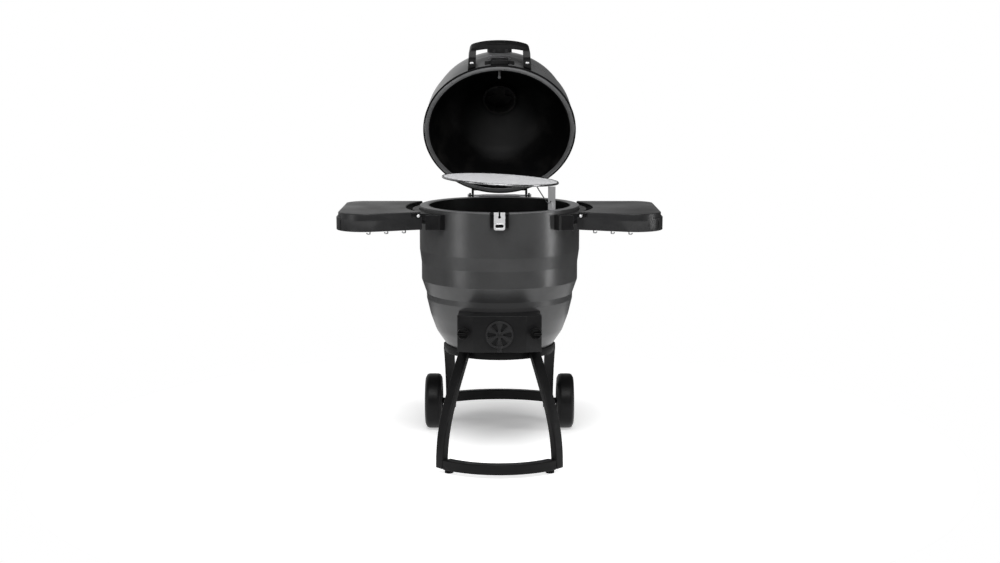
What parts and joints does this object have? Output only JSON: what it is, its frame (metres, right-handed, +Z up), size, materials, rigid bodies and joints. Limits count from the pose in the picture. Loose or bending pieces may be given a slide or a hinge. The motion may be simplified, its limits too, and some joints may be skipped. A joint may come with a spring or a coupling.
{
  "type": "charcoal keg cooker on a wheeled cart",
  "caption": "Round double-wall charcoal cooker with hinged lid, draft wheel, ash drawer, swing-out rack, fold-down side shelves and a wheeled cart.",
  "frame": {"origin": "on the floor, at the centre of the bounding box with the lid open", "axes": "+Z up, the draft wheel, latch and handle face -Y, +X to the viewer's right"},
  "size_m": [1.0894, 0.8426, 1.4084],
  "materials": {
    "keg_paint": "satin metallic dark grey",
    "inner_enamel": "black porcelain enamel",
    "rim_paint": "grey satin",
    "lid_paint": "satin metallic grey",
    "frame_paint": "black powder coat",
    "gasket_rubber": "matte black",
    "cast_iron": "rough black",
    "tyre_rubber": "matte black",
    "black_plastic": "fine grain black",
    "black_paint": "black powder coat",
    "shelf_resin": "fine grain charcoal",
    "stainless": "brushed",
    "rack_chrome": "bright plated wire",
    "badge_metal": "satin",
    "dial_card": "off white card",
    "needle_red": "red enamel",
    "lens_glass": "clear"
  },
  "bodies": {
    "base": {"body_shell": "keg_paint", "fire_bowl": "inner_enamel", "rim_ring": "rim_paint", "support_ring": "frame_paint", "front_leg_left": "frame_paint", "front_leg_right": "frame_paint", "front_bar": "frame_paint", "rear_leg_left": "frame_paint", "rear_leg_right": "frame_paint", "rear_bar": "frame_paint", "axle_left": "frame_paint", "axle_right": "frame_paint", "front_foot_left": "gasket_rubber", "front_foot_right": "gasket_rubber", "ash_housing": "black_paint", "latch_base": "black_paint", "latch_pin": "black_paint", "shelf_bracket_left": "black_paint", "shelf_bracket_right": "black_paint", "hinge_bracket_body": "black_paint", "shelf_pin_front_left": "stainless", "shelf_pin_front_right": "stainless", "shelf_pin_back_left": "stainless", "shelf_pin_back_right": "stainless", "rack_socket": "stainless", "hinge_rod": "stainless"},
    "drawer": {"ash_drawer": "black_paint", "draft_rivet": "black_paint"},
    "draft_wheel": {"draft_wheel": "black_paint"},
    "knob_left": {"drawer_knob_left": "black_plastic"},
    "knob_right": {"drawer_knob_right": "black_plastic"},
    "latch": {"latch_plate": "stainless"},
    "shelf_left": {"shelf_left": "shelf_resin", "tool_hooks_left": "stainless"},
    "shelf_right": {"shelf_right": "shelf_resin", "tool_hooks_right": "stainless"},
    "rack": {"rack_post": "stainless", "rack_grid": "rack_chrome"},
    "wheel_left": {"tyre_left": "tyre_rubber", "hub_left": "black_plastic"},
    "wheel_right": {"tyre_right": "tyre_rubber", "hub_right": "black_plastic"},
    "cooking_grate": {"cooking_grate": "cast_iron"},
    "charcoal_grate": {"charcoal_grate": "cast_iron"},
    "lid": {"lid_shell": "lid_paint", "lid_liner": "inner_enamel", "lid_gasket": "gasket_rubber", "hinge_bracket_lid": "black_paint", "handle": "black_plastic", "handle_screw_left": "stainless", "handle_screw_right": "stainless", "latch_keeper": "black_paint", "badge_plate": "badge_metal", "thermometer_case": "black_paint", "thermometer_stem": "stainless", "thermometer_dial": "dial_card", "thermometer_lens": "lens_glass", "damper_collar": "cast_iron"},
    "damper_cap": {"damper_cap": "cast_iron"},
    "needle": {"thermometer_needle": "needle_red"}
  },
  "joints": [
    {"name": "lid_hinge", "type": "hinge", "parent": "base", "child": "lid", "pos_m": [0, 0.2937, 0.853], "axis": [-1, 0, 0], "range_deg": [-59.5, 0]},
    {"name": "rack_swing", "type": "hinge", "parent": "base", "child": "rack", "pos_m": [0.175, -0.1143, 0.851], "axis": [0, 0, 1], "range_deg": [0, 100]},
    {"name": "shelf_left_fold", "type": "hinge", "parent": "base", "child": "shelf_left", "pos_m": [-0.269, 0.0157, 0.8328], "axis": [0, -1, 0], "range_deg": [0, 78]},
    {"name": "shelf_right_fold", "type": "hinge", "parent": "base", "child": "shelf_right", "pos_m": [0.269, 0.0157, 0.8328], "axis": [0, 1, 0], "range_deg": [0, 78]},
    {"name": "latch_lift", "type": "hinge", "parent": "base", "child": "latch", "pos_m": [0, -0.2718, 0.85], "axis": [-1, 0, 0], "range_deg": [0, 75]},
    {"name": "ash_drawer_slide", "type": "slide", "parent": "base", "child": "drawer", "axis": [0, -1, 0], "range_m": [0, 0.18]},
    {"name": "draft_wheel_turn", "type": "hinge", "parent": "drawer", "child": "draft_wheel", "pos_m": [0, -0.3183, 0.459], "axis": [0, 1, 0], "range_deg": [0, 30]},
    {"name": "knob_left_turn", "type": "hinge", "parent": "drawer", "child": "knob_left", "pos_m": [-0.118, -0.3189, 0.464], "axis": [0, 1, 0], "range_deg": [0, 360]},
    {"name": "knob_right_turn", "type": "hinge", "parent": "drawer", "child": "knob_right", "pos_m": [0.118, -0.3189, 0.464], "axis": [0, 1, 0], "range_deg": [0, 360]},
    {"name": "damper_cap_turn", "type": "hinge", "parent": "lid", "child": "damper_cap", "pos_m": [0, 0.37198, 1.22175], "axis": [0, 0.8616, 0.5075], "range_deg": [0, 45]},
    {"name": "needle_turn", "type": "hinge", "parent": "lid", "child": "needle", "pos_m": [0, 0.17895, 1.37093], "axis": [0, 0, 1], "range_deg": [0, 270]},
    {"name": "wheel_left_spin", "type": "hinge", "parent": "base", "child": "wheel_left", "pos_m": [-0.209, 0.2607, 0.1], "axis": [1, 0, 0], "continuous": true},
    {"name": "wheel_right_spin", "type": "hinge", "parent": "base", "child": "wheel_right", "pos_m": [0.209, 0.2607, 0.1], "axis": [1, 0, 0], "continuous": true},
    {"name": "cooking_grate_lift", "type": "slide", "parent": "base", "child": "cooking_grate", "axis": [0, 0, 1], "range_m": [0, 0.03]},
    {"name": "charcoal_grate_lift", "type": "slide", "parent": "base", "child": "charcoal_grate", "axis": [0, 0, 1], "range_m": [0, 0.15]}
  ]
}
